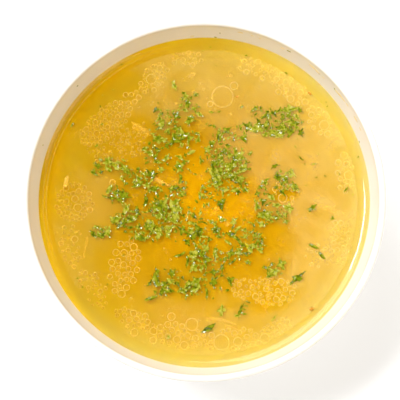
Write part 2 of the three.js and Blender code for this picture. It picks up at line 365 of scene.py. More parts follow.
clear, add = new_material("clear_broth_with_fat_film_and_painted_sheen")
in_mm = in_millimetres(add)
flat, from_axis = seen_from_above(add, in_mm)
ragged = add("TexNoise", {"Vector": flat, "Scale": 1 / TEAR_WIDTH, "Detail": 4.0, "Distortion": 1.2})
nearest = None
for x, y, half_width, half_length in POOLS:
    shifted = add("VectorMath", {0: flat, 1: (x, y, 0)}, operation="SUBTRACT")
    shrunk = add("VectorMath", {0: shifted, 1: (half_width, half_length, 1)}, operation="DIVIDE")
    reach = add("VectorMath", {0: shrunk}, operation="LENGTH")
    within = (reach, "Value")
    nearest = add("Math", {0: nearest, 1: within}, operation="MINIMUM") if nearest else within
# Noise tears the film's edge, which closes a little way outside the pools.
torn = add("Math", {0: ragged, 1: TEAR_DEPTH, 2: nearest}, operation="MULTIPLY_ADD")
closed = add("MapRange", {0: torn, 1: FILM_OPENS, 2: FILM_CLOSES}, interpolation_type="SMOOTHSTEP")
rim_gap = add(
    "MapRange", {0: (from_axis, "Value"), 1: FILM_RADIUS, 2: FILM_RADIUS - FILM_EDGE},
    interpolation_type="SMOOTHSTEP",
)
# The film is uneven, and thicker on the right: partly fat drifted to that side, partly painted light that
# makes the right paler and brighter.
swirl = add("TexNoise", {"Vector": flat, "Scale": 1 / SWIRL_WIDTH, "Detail": 5.0, "Distortion": 2.2})
thickness = add("MapRange", {0: swirl, 1: 0.3, 2: 0.7, 3: 0.35, 4: 1.0})
gathered = add("VectorMath", {0: flat, 1: (0.98, 0.17, 0)}, operation="DOT_PRODUCT")
heaped_and_painted_light = add("MapRange", {0: (gathered, "Value"), 1: -55.0, 2: 55.0, 3: 0.3, 4: 1.4})
covered = add("Math", {0: closed, 1: rim_gap}, operation="MULTIPLY")
uneven = add("Math", {0: thickness, 1: heaped_and_painted_light}, operation="MULTIPLY")
film = add("Math", {0: covered, 1: uneven}, operation="MULTIPLY")
# Froth too fine to model, drawn as rings of about a millimetre, in patches.
froth = add("TexVoronoi", {"Vector": flat, "Scale": 1 / FROTH_WIDTH})
ring = add("ValToRGB", {0: froth}, stops=[(0.16, 0), (0.24, 1), (0.3, 1), (0.4, 0)])
frothy = add("TexNoise", {"Vector": flat, "Scale": 1 / FROTH_PATCH, "Detail": 2.0})
patch = add("MapRange", {0: frothy, 1: 0.5, 2: 0.62})
rings = add("Math", {0: ring, 1: patch}, operation="MULTIPLY")
rings_here = add("Math", {0: rings, 1: rim_gap}, operation="MULTIPLY")
thin = add("Math", {0: film, 1: FILM_WEIGHT}, operation="MULTIPLY")
weight = add("Math", {0: rings_here, 1: FROTH_WEIGHT, 2: thin}, operation="MULTIPLY_ADD")
# Painted reflection: two fine pale lines at the foot of the meniscus, on the left, where the bright wall
# shows in it.
shaded = add("VectorMath", {0: flat, 1: (-0.9, 0.44, 0)}, operation="DOT_PRODUCT")
line_here = add("MapRange", {0: (shaded, "Value"), 1: 30.0, 2: 60.0, 3: 0.0, 4: REFLECTED_LINE_WEIGHT})
for line_radius in REFLECTED_LINE_RADII:
    off_line = add("Math", {0: (from_axis, "Value"), 1: line_radius}, operation="SUBTRACT")
    distance = add("Math", {0: off_line}, operation="ABSOLUTE")
    drawn = add("MapRange", {0: distance, 1: 0.4, 2: 0.05})
    weight = add("Math", {0: drawn, 1: line_here, 2: weight}, operation="MULTIPLY_ADD")
through = add("Math", {0: 1.0, 1: weight}, operation="SUBTRACT", use_clamp=True)
ripple = add("TexNoise", {"Vector": flat, "Scale": 1 / RIPPLE_WIDTH, "Detail": 2.0})
bump = add("Bump", {"Strength": 0.05, "Distance": 0.2 * MM, "Height": ripple})
# The film's pale colour is partly a painted sheen.
liquid = add("BsdfPrincipled", {
    "Base Color": linear(FILM_AND_SHEEN_COLOUR), "Roughness": 0.03, "IOR": BROTH_IOR,
    "Transmission Weight": through, "Normal": bump,
})
lit = lets_light_by(add, liquid)
# The colours that the broth takes out of white light: nearly all blue, some green and little red.
taken = add("VolumeAbsorption", {"Color": (0.97, 0.9, 0.4, 1.0), "Density": 770.0})
add("OutputMaterial", {"Surface": lit, "Volume": taken})
top.data.materials.append(clear)
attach(top, "root")
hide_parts("broth")


# ---- Shreds in the broth -----------------------------------------------------------------------
# Shreds of boiled leek, celeriac and carrot that hang just under the surface: thin strips cut along the
# fibre, softened, curved and gone half clear.
# Each has a centre x, y, a length, a width, a heading and a bend in degrees, a depth and a yellowness.
SHREDS = [
    [-27.5, 31.0, 14, 4.2, -27, 10, 1.2, 0.2], [-20.5, 9.8, 15, 2.4, -36, 50, 0.7, 0.0],
    [5.0, -3.4, 3.6, 2.8, 60, 0, 0.5, 0.8], [8.8, -8.2, 5.0, 3.0, -50, 0, 0.9, 0.2],
    [-49.0, -19.0, 11, 1.6, 80, 20, 1.0, 0.7], [-41.7, -44.9, 8, 1.7, -75, 0, 1.2, 0.3],
    [26.5, -38.8, 13, 1.6, 86, 25, 0.9, 0.9], [24.0, -43.0, 10, 1.5, -55, -15, 1.1, 0.9],
    [30.0, -45.0, 8, 5.0, -40, 0, 1.6, 0.1], [56.0, -4.5, 18, 2.6, -15, 12, 1.3, 0.5],
    [52.0, -2.5, 7, 2.0, 10, 30, 1.0, 0.7], [34.5, -2.2, 7, 1.2, 26, 10, 0.6, 0.9],
    [-57.3, 8.6, 6, 2.4, 76, 10, 0.2, 0.0], [-5.8, 52.6, 6, 3.0, 32, 0, 1.0, 0.0],
    [10.2, 51.8, 5, 3.4, 60, 0, 1.2, 0.2], [-7.0, 45.0, 8, 1.6, 22, 20, 1.4, 0.0],
    [60.0, -30.0, 15, 1.2, 52, 30, 1.0, 0.4], [57.0, -27.0, 13, 0.8, 58, 30, 1.0, 0.5],
    [37.5, -8.6, 23, 3.4, 50, -10, 1.9, 0.1], [27.0, -14.0, 8, 5.0, 60, 0, 1.7, 0.1],
    [7.0, -49.0, 15, 1.6, -12, -20, 1.0, 0.1], [11.0, -52.0, 12, 1.2, -20, 15, 1.2, 0.3],
]
SHRED_THICKNESS = 0.7
SHRED_STEPS = 14
# The flesh between the fibres, and the fibres.
PALE_SHRED = [(0.35, "#F2CF7E"), (0.6, "#FFEDB8")]
YELLOW_SHRED = [(0.35, "#F0BE2E"), (0.6, "#FFE066")]
FIBRES_ALONG, FIBRES_ACROSS = 1.2, 9.0  # in a shred


def stream(seed):
    """A repeatable run of numbers from 0 to 1."""
    state = seed * 2654435761 % 2**32

    def draw():
        nonlocal state
        state = (state * 1664525 + 1013904223) % 2**32
        return state / 2**32

    return draw


def joined(name, pieces):
    """Joins pieces that already lie in place into one."""
    for piece in pieces:
        piece.select_set(True)
    bpy.context.view_layer.objects.active = pieces[0]
    bpy.ops.object.join()
    whole = bpy.context.object
    whole.name = whole.data.name = name
    bpy.ops.object.select_all(action="DESELECT")
    return whole


def named_value(mesh, name, values):
    """Keeps one number for each point of a mesh, for its material to read."""
    mesh.attributes.new(name, "FLOAT", "POINT").data.foreach_set("value", values)


def thickened(piece, thickness, offset=-1):
    """Gives the active piece a thickness in mm, under its faces or, at offset 0, on both sides."""
    thick = piece.modifiers.new("thickness", "SOLIDIFY")
    thick.thickness = thickness * MM
    thick.offset = offset
    bpy.ops.object.modifier_apply(modifier=thick.name)


def shred(x, y, length, width, heading, bend, depth, yellowness, seed):
    """A grid, tapered and rippled, bent to an arc, laid at its depth and given its thickness."""
    draw = stream(seed)
    bpy.ops.mesh.primitive_grid_add(x_subdivisions=SHRED_STEPS, y_subdivisions=4, size=1)
    piece = bpy.context.object
    turn = Matrix.Rotation(math.radians(heading), 4, "Z")
    taper = 0.15 + 0.5 * draw()
    phase = 6 * draw()
    for vertex in piece.data.vertices:
        along, across = vertex.co.x, vertex.co.y
        narrow = 1 - taper * abs(along * 2) ** 3 + 0.12 * math.sin(9 * along + phase)
        angle = math.radians(bend) * along
        side = across * width * narrow
        if abs(bend) > 1:
            radius = length / math.radians(bend)
            flat_x = (radius - side) * math.sin(angle)
            flat_y = radius - (radius - side) * math.cos(angle)
        else:
            flat_x, flat_y = along * length, side
        dip = 0.35 * math.sin(5 * along + phase) + 0.25 * math.sin(3 * across + 4 * along)
        laid = turn @ Vector((flat_x, flat_y, 0))
        vertex.co = Vector((x + laid.x, y + laid.y, BROTH_LEVEL - depth + dip * min(depth, 0.8))) * MM
    named_value(piece.data, "yellowness", [yellowness] * len(piece.data.vertices))
    thickened(piece, SHRED_THICKNESS)
    bpy.ops.object.shade_smooth()
    bpy.ops.object.select_all(action="DESELECT")
    return piece


shreds = joined("vegetable_shreds", [shred(*row, seed=i + 1) for i, row in enumerate(SHREDS)])

boiled, add = new_material("boiled_vegetable")
laid = add("UVMap", uv_map="UVMap")
drawn_out = add("VectorMath", {0: laid, 1: (FIBRES_ALONG, FIBRES_ACROSS, 1)}, operation="MULTIPLY")
fibres = add("TexNoise", {"Vector": drawn_out, "Scale": 1.0, "Detail": 3.0})
pale = add("ValToRGB", {0: fibres}, stops=PALE_SHRED)
yellowed = add("ValToRGB", {0: fibres}, stops=YELLOW_SHRED)
which = add("Attribute", attribute_name="yellowness")
colour = add("Mix", {0: (which, "Fac"), 6: pale, 7: yellowed}, data_type="RGBA")
# A shred fades out towards its ends and sides, where it is thin and half clear.
sides = add("VectorMath", {0: laid, 1: (0.5, 0.5, 0)}, operation="SUBTRACT")
spans = add("VectorMath", {0: sides}, operation="ABSOLUTE")
span = add("SeparateXYZ", {0: spans})
thin_ends = add("MapRange", {0: (span, "X"), 1: 0.5, 2: 0.3}, interpolation_type="SMOOTHSTEP")
thin_sides = add("MapRange", {0: (span, "Y"), 1: 0.5, 2: 0.15}, interpolation_type="SMOOTHSTEP")
faded = add("Math", {0: thin_ends, 1: thin_sides}, operation="MULTIPLY")
veil = add("MapRange", {0: fibres, 1: 0.35, 2: 0.65, 3: 0.08, 4: 0.38})
seen = add("Math", {0: faded, 1: veil}, operation="MULTIPLY")
skin = add("BsdfPrincipled", {"Base Color": (colour, 2), "Roughness": 0.4, "IOR": 1.38, "Alpha": seen})
add("OutputMaterial", {"Surface": skin})
shreds.data.materials.append(boiled)
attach(shreds, "root")


# ---- Fat eyes ----------------------------------------------------------------------------------
# Drops of vegetable oil that float on the broth as flat lenses, gathered in rafts where the broth turned
# as it was poured. Each lens is clear and golden, with a painted pale ring, a painted highlight where its
# edge bends the light.
# Each raft has a centre x, y, a half width and half length, a heading, a number of lenses, and their least
# and greatest width.
RAFTS = [
    [-41, 33, 13, 6, 38, 100, 0.9, 2.7], [-33, 41, 8, 3.6, 30, 46, 0.9, 2.6],
    [-21, 52, 7.5, 4.2, 50, 34, 0.8, 2.4], [-7, 60, 6.5, 3, 0, 18, 1.0, 3.0],
    [22, 56, 9, 4, -15, 22, 1.1, 2.8], [36, 47, 9, 5, -38, 34, 1.2, 3.2],
    [48, 34, 7, 4, -55, 20, 1.2, 3.2], [-54, 0, 8, 8, 0, 62, 1.0, 2.8],
    [-55, -18, 5, 9, 10, 26, 1.0, 2.4], [-33, -27, 6, 11.5, -12, 96, 1.2, 3.4],
    [-46, -36, 5, 9, 30, 30, 1.0, 2.4], [-29, -49, 9, 3.8, -25, 34, 1.1, 3.2],
    [-10, -55, 11, 5, -8, 44, 1.1, 3.6], [12, -57, 13, 4.2, 4, 44, 1.1, 3.2],
    [30, -53, 7, 3.8, 25, 20, 1.0, 2.6], [28, -37, 10, 6, 0, 46, 1.1, 3.2],
    [16, -36, 5, 4, 0, 16, 1.0, 2.8], [59, 12, 4, 9, 0, 28, 1.1, 3.2],
    [57, -17, 5, 10, 5, 34, 1.1, 3.0], [48, -22, 6, 5, 0, 16, 0.8, 2.0],
    [34, 4, 5, 5, 0, 14, 1.0, 3.0], [-36, 24, 13, 8, 20, 80, 0.7, 1.8],
    [-8, 30, 30, 24, 0, 60, 0.5, 1.3], [0, -20, 44, 30, 0, 60, 0.5, 1.3],
]
# Lenses that lie alone: centre x, y and width.
LONE_EYES = [
    [-22, 51.5, 4.4], [-18.5, 56.2, 2.4], [7.7, 44, 9.4], [12.5, 48.6, 3.4], [2.6, 41.0, 2.6],
    [-5, -50.8, 5.4], [7.2, -58.2, 6.8], [14.0, -58.0, 3.8], [25.2, -56.6, 4.3], [-20.9, -53.5, 3.2],
    [32.6, 1.6, 3.8], [60.0, 11.0, 3.8], [50.0, 32.0, 4.2], [31.0, 46.0, 2.6], [-52.4, -2.3, 3.6],
    [-53.6, 1.4, 3.0], [-53.6, -15.4, 3.0], [-38.0, 8.3, 2.6], [-13.5, -47.6, 3.4],
    [-28.8, -54.1, 3.3], [-21.0, -57.3, 3.0],
]
EYE_HEIGHT = 0.025  # of its dome, as a share of its width
EYE_SINKS = 0.06  # how deep its underside lies, likewise
EYE_SHOWS = 0.05  # how much of that depth stands out of the broth
THICKEST_EYE = 2.5  # wider lenses are no thicker than one of this width
EYE_SPACING = 1.03  # between two middles, of half the sum of their widths
EYE_TRIES = 14
EYE_SEED = 7
SMALL_CORNERS, LARGE_CORNERS = 12, 32
LARGE_EYE = 3.0
# From the left to the right: painted light, darker on the left and paler on the right, as the broth under
# them is lit.
OIL_LEFT, OIL_RIGHT = "#B28000", "#C8B43C"
RING_LEFT, RING_RIGHT = "#F4DE82", "#FFF0B4"
RING_FROM, RING_TO = 0.84, 0.92  # of its radius
VEIL = [(0.0, 0.15), (0.82, 0.15), (0.91, 0.4), (1.0, 0.36)]  # how much a lens hides, out to its edge
BOLDEST_EYE = 2.4  # a wider lens has a fainter ring


def lens(corners):
    """A lens 1 wide: a disc, drawn in twice and raised to a low dome, over a flat underside."""
    bpy.ops.mesh.primitive_circle_add(vertices=corners, radius=0.5, fill_type="TRIFAN")
    piece = bpy.context.object
    bpy.ops.object.mode_set(mode="EDIT")
    bpy.ops.mesh.select_all(action="SELECT")
    bpy.ops.mesh.extrude_region_move(TRANSFORM_OT_translate={"value": (0, 0, EYE_SINKS)})
    for size, across, rise in ((0.84, 0.84, 0.5), (0.66, 0.66 / 0.84, 0.3), (0.4, 0.4 / 0.66, 0.2)):
        bpy.ops.mesh.inset(thickness=0)
        bpy.ops.transform.resize(value=(across, across, 1))
        bpy.ops.transform.translate(value=(0, 0, EYE_HEIGHT * rise))
    bpy.ops.object.mode_set(mode="OBJECT")
    reach = [2 * vertex.co.xy.length for vertex in piece.data.vertices]
    named_value(piece.data, "reach", reach)
    for polygon in piece.data.polygons:
        polygon.use_smooth = polygon.normal.z > 0.5
    bpy.ops.object.select_all(action="DESELECT")
    return piece


def rafts():
    """Where each lens lies: the lone ones, then in each raft the large ones and what fits between."""
    draw = stream(EYE_SEED)
    eyes = [tuple(row) for row in LONE_EYES]
    for x, y, half_width, half_length, heading, count, least, greatest in RAFTS:
        turn = math.radians(heading)
        laid = 0
        for _ in range(count * EYE_TRIES):
            angle, reach = 2 * math.pi * draw(), math.sqrt(draw())
            along, across = half_width * reach * math.cos(angle), half_length * reach * math.sin(angle)
            place = (
                x + along * math.cos(turn) - across * math.sin(turn),
                y + along * math.sin(turn) + across * math.cos(turn),
            )
            size = least + (greatest - least) * (1 - laid / count) ** 2 * (0.6 + 0.4 * draw())
            clear_of_all = all(
                math.dist(place, eye[:2]) > EYE_SPACING * (size + eye[2]) / 2 for eye in eyes
            )
            if clear_of_all and math.hypot(*place) + size / 2 < FILM_RADIUS:
                eyes.append((*place, size))
                laid += 1
            if laid == count:
                break
    return eyes


def laid_copy(pattern, placed):
    """A copy of a pattern, with a mesh of its own that a matrix lays in its place."""
    copy = pattern.copy()
    copy.data = pattern.data.copy()
    bpy.context.collection.objects.link(copy)
    copy.data.transform(placed)
    return copy


small_lens, large_lens = lens(SMALL_CORNERS), lens(LARGE_CORNERS)
eye_copies = []
for x, y, size in rafts():
    tall = min(size, THICKEST_EYE)
    at = Matrix.Translation(Vector((x, y, BROTH_LEVEL - EYE_SINKS * tall * (1 - EYE_SHOWS))) * MM)
    copy = laid_copy(
        large_lens if size > LARGE_EYE else small_lens,
        at @ Matrix.Diagonal((size * MM, size * MM, tall * MM, 1)),
    )
    named_value(copy.data, "boldness", [min(1.0, BOLDEST_EYE / size)] * len(copy.data.vertices))
    named_value(copy.data, "painted_light_paleness", [min(1.0, max(0.0, (x + 45) / 90))] * len(copy.data.vertices))
    eye_copies.append(copy)
for pattern in (small_lens, large_lens):
    bpy.data.objects.remove(pattern)
fat_eyes = joined("fat_eyes", eye_copies)

oil, add = new_material("floating_oil")
reach = add("Attribute", attribute_name="reach")
# Painted light: the lens colours run from darker on the left to paler on the right.
pale = add("Attribute", attribute_name="painted_light_paleness")
within = add("Mix", {0: (pale, "Fac"), 6: linear(OIL_LEFT), 7: linear(OIL_RIGHT)}, data_type="RGBA")
line = add("Mix", {0: (pale, "Fac"), 6: linear(RING_LEFT), 7: linear(RING_RIGHT)}, data_type="RGBA")
# Painted highlight: a pale ring near each lens's edge.
at_edge = add("MapRange", {0: (reach, "Fac"), 1: RING_FROM, 2: RING_TO})
colour = add("Mix", {0: at_edge, 6: (within, 2), 7: (line, 2)}, data_type="RGBA")
lines = add("ValToRGB", {0: (reach, "Fac")}, stops=VEIL)
bold = add("Attribute", attribute_name="boldness")
seen = add("Math", {0: lines, 1: (bold, "Fac")}, operation="MULTIPLY")
skin = add("BsdfPrincipled", {
    "Base Color": (colour, 2), "Roughness": 0.25, "IOR": 1.47, "Specular IOR Level": 0.15,
    "Alpha": seen,
})
lit = lets_light_by(add, skin)
add("OutputMaterial", {"Surface": lit})
fat_eyes.data.materials.append(oil)
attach(fat_eyes, "root")


# ---- Chopped parsley ---------------------------------------------------------------------------
# Curly parsley, chopped with a knife and strewn from above: ragged bits of leaf, crumpled and curled, that
# float half sunk, with a few combs of leaf edge and bits of stalk between them.
# Each tuft has a centre x, y, a half width and a half length, and a number of flakes.
TUFTS = [
    [-6, 39.5, 4.5, 4.5, 12], [-16, 34.5, 5, 4.5, 17], [-12, 27, 9, 3.5, 16], [-20, 18.5, 4.5, 5, 12],
    [-8, 17, 5.5, 5, 9], [24, 37, 7, 3.5, 8], [35, 33.5, 5, 4.5, 24], [29, 29, 3.5, 3, 7],
    [21, 31.5, 6, 2.5, 6], [9, 26, 7, 5, 17], [9, 17.5, 8, 4.5, 23], [10, 9, 7, 5, 22],
    [6, 10.5, 3, 4.5, 12], [17, 16, 3, 4, 5], [-39, 15.5, 8, 3, 11], [-29.5, 10.5, 5, 3.5, 10],
    [-23.5, 9.5, 1.8, 3, 5], [-36.5, 3.5, 4.5, 4, 11], [-30, -7, 5, 4.5, 16], [-25, -12, 6, 3, 9],
    [-18, 3, 7, 3.5, 15], [-15.5, -6, 6.5, 5, 33], [-10.5, 6, 2.5, 3, 9], [-3, -6, 4.5, 4.5, 9],
    [4, 1.5, 5.5, 3.5, 9], [-36, -6.5, 2.5, 2.5, 4], [-43, -13, 4, 2.2, 8], [-20, -12.5, 8, 3, 12],
    [-4, -15, 6, 4, 12], [6, -11, 5, 4, 6], [16, -12, 5.5, 6, 13], [22.5, -17, 3.5, 3.5, 8],
    [-1, -24, 7, 4.5, 20], [12, -23, 6.5, 3.5, 11], [4, -31.5, 7, 5, 10], [-15.5, -34, 6, 4.5, 21],
    [-5, -36.5, 6, 2.5, 11], [25.5, 3, 4, 6, 13], [33, 8.5, 5, 3.5, 12], [27.5, -6, 6.5, 3, 19],
    [28.5, -28, 3.5, 2.5, 7],
]
# Flakes that lie alone: x, y, length, width and heading in degrees.
STRAYS = [
    [38.5, -31.7, 8, 3.6, 35], [15.1, -45, 7, 1.6, 70], [7.2, -45, 4.5, 3.8, 80],
    [1.9, -52.4, 6, 2.8, 30], [45.2, -18.5, 4.5, 2.0, -35], [48.6, -22.3, 4, 2.0, -60],
    [44.8, -2.6, 4.6, 2.4, 40], [53.3, -6.8, 2, 1.8, 80], [-12.4, 48.8, 4.8, 2.2, -70],
    [29.5, 14.9, 4.2, 1.8, 25], [-22, -40, 6, 2.2, 10], [28.9, -48.2, 3.8, 0.9, 50],
    [40.3, 18.1, 2.4, 1.4, -40], [45.7, 15.7, 2.6, 0.9, 10], [58.9, 5.1, 2.4, 1.1, 45],
    [3.0, 37.6, 2.6, 1.2, -10], [6.2, 37.7, 2.2, 1.0, 15], [-14.7, -56, 2.0, 1.6, 80],
]
FLAKE_SEED = 20
TUFT_SCATTER = 1.3  # how far the flakes of a tuft spread, of its half width and half length
FLAKE_TRIES = 12  # how often a flake looks for a free place
FLAKE_SPACING = 0.37  # between two flakes, of the sum of their lengths
SHORTEST_FLAKE = 1.6
FLAKE_SPREAD = 3.8  # the longest flake of a tuft is this much longer
NARROWEST_FLAKE = 0.5  # of its length
WIDTH_SPREAD = 0.45
LEAF_THICKNESS = 0.1  # with the broth that clings to it
LOWEST_FLOAT = 0.03
FLOAT_SPREAD = 0.15
# What falls off the knife with them: crumbs among the flakes, and specks all over the broth.
CRUMBS_PER_FLAKE = 0.8
CRUMB_SCATTER = 1.5
SHORTEST_CRUMB = 0.7
CRUMB_SPREAD = 1.4
NARROWEST_CRUMB, CRUMB_WIDTH_SPREAD = 0.35, 0.5  # of its length
CRUMB_SEED = 12
SPECKS = 50
SPECK_REACH = 63.0
SHORTEST_SPECK, SPECK_SPREAD, SPECK_WIDTH = 0.35, 0.8, 0.7
# Crumbs that lie alone, and the teeth of a leaf edge at the front: x, y, length, width, heading.
LONE_CRUMBS = [
    [2.7, 64.8, 1.0, 0.6, 20], [-0.3, 63.4, 0.8, 0.5, -30], [17.6, 61.3, 1.3, 0.7, 10],
    [5.0, 57.2, 0.8, 0.6, 60], [34.2, 53.8, 1.6, 0.9, -30], [51.2, 39.8, 1.1, 0.6, 40],
    [50.8, 41.6, 0.8, 0.5, 0], [48.7, 41.7, 0.9, 0.5, -50], [64.0, 18.6, 1.2, 0.7, 70],
    [38.7, 26.3, 1.0, 0.7, 15], [38.0, 22.9, 1.2, 0.7, -60], [41.8, 15.7, 0.9, 0.6, 30],
    [50.3, 10.7, 1.2, 0.7, -20], [42.3, 6.8, 1.0, 0.6, 50], [-54.9, 32.4, 2.4, 0.9, 62],
    [-42.5, 32.6, 1.3, 0.9, 30], [-44.7, 23.6, 1.9, 1.3, 20], [-37.9, 47.1, 0.8, 0.6, 0],
    [-42.3, 44.7, 0.8, 0.5, 80], [-34.3, 57.5, 0.9, 0.6, 0], [-40.4, 24.6, 0.8, 0.5, 0],
    [18.2, -41.6, 2.6, 0.8, -20], [17.2, -43.0, 2.8, 0.9, -20], [16.2, -44.4, 2.8, 0.9, -22],
    [15.2, -46.0, 3.0, 1.0, -15], [13.8, -47.2, 3.0, 1.4, 0], [16.8, -46.6, 2.0, 1.0, 10],
    [7.4, -43.8, 2.4, 1.4, 60], [7.0, -46.4, 2.6, 1.5, 80],
]
# The specks that dried on the wall: an azimuth, height, length, width and heading.
WALL_SPECKS = [
    [60.3, 57.9, 2.2, 0.9, -25], [40.4, 57.6, 1.1, 0.8, 40], [47.6, 57.1, 0.6, 0.4, 0],
    [84.5, 55.0, 0.7, 0.5, 0], [21.0, 51.4, 1.1, 0.8, 70], [86.0, 51.2, 1.4, 0.8, -20],
    [137.6, 56.7, 1.0, 0.6, 60], [160.8, 55.7, 0.8, 0.6, 0],
]
# What the flakes and crumbs are cut to: corners, lobes, how deep these are cut, curl and bend.
LEAF_SHAPES = [
    (20, 3, 0.5, 0.6, 0.0), (24, 5, 0.45, -0.5, 0.4), (22, 3, 0.6, 0.5, -0.5), (24, 4, 0.5, 0.9, 0.9),
    (18, 2, 0.5, -0.8, 0.0), (24, 5, 0.55, 0.5, -0.7), (20, 4, 0.3, 1.1, 0.3), (22, 3, 0.55, -0.4, -1.0),
    (20, 2, 0.65, 0.6, 0.5), (22, 4, 0.6, -0.5, 0.0),
]
CRUMB_SHAPES = [
    (8, 3, 0.35, 0.6, 0.0), (8, 3, 0.35, -0.7, 0.5), (10, 3, 0.35, 0.4, -0.6), (8, 3, 0.35, 0.9, 0.9),
]
LEAF_FULLNESS = 1.18  # makes up for what the lobes take from the outline
TOOTH = 0.13
SHAPE_SEED, LAYING_SEED = 1, 31
GREENS = [(0.15, "#4A5700"), (0.4, "#6E7A00"), (0.62, "#888E0A"), (0.9, "#B4B03E")]
MOTTLE_WIDTH = 0.9
BEAD_WIDTH = 1.3  # of the broth that stands in beads on a leaf


def flakes():
    """Every flake as it fell, in a fixed order: x, y, length, width, heading."""
    draw = stream(FLAKE_SEED)
    fallen = [(x, y, length, width, math.radians(heading)) for x, y, length, width, heading in STRAYS]
    for x, y, across, along, count in TUFTS:
        for _ in range(count):
            size = draw()
            length = SHORTEST_FLAKE + FLAKE_SPREAD * size * size
            width = length * (NARROWEST_FLAKE + WIDTH_SPREAD * draw())
            heading = math.pi * draw()
            for _ in range(FLAKE_TRIES):
                place_x = x + TUFT_SCATTER * across * (draw() + draw() - 1)
                place_y = y + TUFT_SCATTER * along * (draw() + draw() - 1)
                if all(
                    math.hypot(place_x - other[0], place_y - other[1]) > FLAKE_SPACING * (length + other[2])
                    for other in fallen
                ):
                    break
            fallen.append((place_x, place_y, length, width, heading))
    return fallen


def crumbs():
    """The small bits, as flakes() gives the large ones."""
    draw = stream(CRUMB_SEED)
    fallen = [(x, y, length, width, math.radians(heading)) for x, y, length, width, heading in LONE_CRUMBS]
    for x, y, across, along, count in TUFTS:
        for _ in range(int(count * CRUMBS_PER_FLAKE)):
            place_x = x + CRUMB_SCATTER * across * ((draw() + draw()) - 1)
            place_y = y + CRUMB_SCATTER * along * ((draw() + draw()) - 1)
            length = SHORTEST_CRUMB + CRUMB_SPREAD * draw()
            width = length * (NARROWEST_CRUMB + CRUMB_WIDTH_SPREAD * draw())
            fallen.append((place_x, place_y, length, width, math.pi * draw()))
    for _ in range(SPECKS):
        angle, reach = math.tau * draw(), SPECK_REACH * math.sqrt(draw())
        place_x, place_y = reach * math.cos(angle), reach * math.sin(angle)
        length = SHORTEST_SPECK + SPECK_SPREAD * draw() ** 2
        fallen.append((place_x, place_y, length, length * SPECK_WIDTH, math.pi * draw()))
    return fallen


def leaf_bit(corners, lobes, depth, curl, bend, seed):
    """A bit of leaf 1 long and 1 wide: a toothed, lobed ring, filled to its middle, creased and bent."""
    draw = stream(seed + SHAPE_SEED)
    bpy.ops.mesh.primitive_circle_add(vertices=corners, radius=0.5, fill_type="NOTHING")
    piece = bpy.context.object
    for index, vertex in enumerate(piece.data.vertices):
        tooth = 1 + (TOOTH if index % 2 else -TOOTH) + 0.2 * (draw() - 0.5)
        lobe = 1 - depth * abs(math.sin(lobes * math.pi * index / corners + seed)) ** 1.5
        vertex.co.xy *= LEAF_FULLNESS * tooth * lobe
    bpy.ops.object.mode_set(mode="EDIT")
    bpy.ops.mesh.select_all(action="SELECT")
    bpy.ops.mesh.extrude_region_move()
    bpy.ops.transform.resize(value=(0.5, 0.5, 1))
    bpy.ops.mesh.extrude_region_move()
    bpy.ops.mesh.merge(type="CENTER")
    faced_outwards()
    reach = [min(1.0, 2 * vertex.co.xy.length) for vertex in piece.data.vertices]
    # Painted shade and light: how high a crease lifts each point, for the colour to darken creases and
    # lighten folds.
    painted_fold_light = []
    for vertex in piece.data.vertices:
        x, y = vertex.co.x, vertex.co.y
        crease = math.sin(8 * x + seed) * math.cos(6 * y + 2 * seed) + 1.2 * (draw() - 0.5)
        painted_fold_light.append(0.5 + 0.4 * crease)
        vertex.co.z = 0.35 * curl * (y * y - 0.1) + 0.05 * crease
        vertex.co.y = y * (1 - 0.4 * abs(curl * y)) + bend * (x * x - 0.08)
    named_value(piece.data, "reach", reach)
    named_value(piece.data, "painted_fold_light", painted_fold_light)
    bpy.ops.object.select_all(action="DESELECT")
    return piece


def strewn(fallen, patterns, draw):
    """A copy of a pattern for each bit, laid in its place, a little tilted, with a tone of its own."""
    copies = []
    for x, y, length, width, heading in fallen:
        pattern = patterns[int(draw() * len(patterns))]
        tilt = Euler((0.3 * (draw() - 0.5), 0.25 * (draw() - 0.5), heading)).to_matrix().to_4x4()
        level = broth_height(min(math.hypot(x, y), edge_radius), edge_radius)
        at = Matrix.Translation(Vector((x, y, level + LOWEST_FLOAT + FLOAT_SPREAD * draw())) * MM)
        copy = laid_copy(pattern, at @ tilt @ Matrix.Diagonal((length * MM, width * MM, width * MM, 1)))
        named_value(copy.data, "tone", [draw()] * len(copy.data.vertices))
        copies.append(copy)
    return copies


leaves = [leaf_bit(*shape, seed) for seed, shape in enumerate(LEAF_SHAPES)]
small_leaves = [leaf_bit(*shape, seed) for seed, shape in enumerate(CRUMB_SHAPES)]
draw = stream(LAYING_SEED)
bits = strewn(flakes(), leaves, draw) + strewn(crumbs(), small_leaves, draw)
for azimuth, height, length, width, heading in WALL_SPECKS:
    pattern = small_leaves[int(draw() * len(small_leaves))]
    turn, radius = math.radians(azimuth), inner_radius(height)
    slope = math.atan(WALL_POWER * (height - INNER_FLOOR) / radius)
    lean = Matrix.Rotation(turn, 4, "Z") @ Matrix.Rotation(-slope, 4, "Y")
    at = Matrix.Translation(Vector((radius * math.cos(turn), radius * math.sin(turn), height)) * MM)
    spun = Matrix.Rotation(math.radians(heading) - turn, 4, "Z")
    size = Matrix.Diagonal((length * MM, width * MM, 0.4 * width * MM, 1))
    speck = laid_copy(pattern, at @ lean @ spun @ size)
    named_value(speck.data, "tone", [draw()] * len(speck.data.vertices))
    bits.append(speck)
for pattern in leaves + small_leaves:
    bpy.data.objects.remove(pattern)
parsley = joined("chopped_parsley", bits)
parsley.select_set(True)
bpy.context.view_layer.objects.active = parsley
thickened(parsley, LEAF_THICKNESS)
bpy.ops.object.select_all(action="DESELECT")

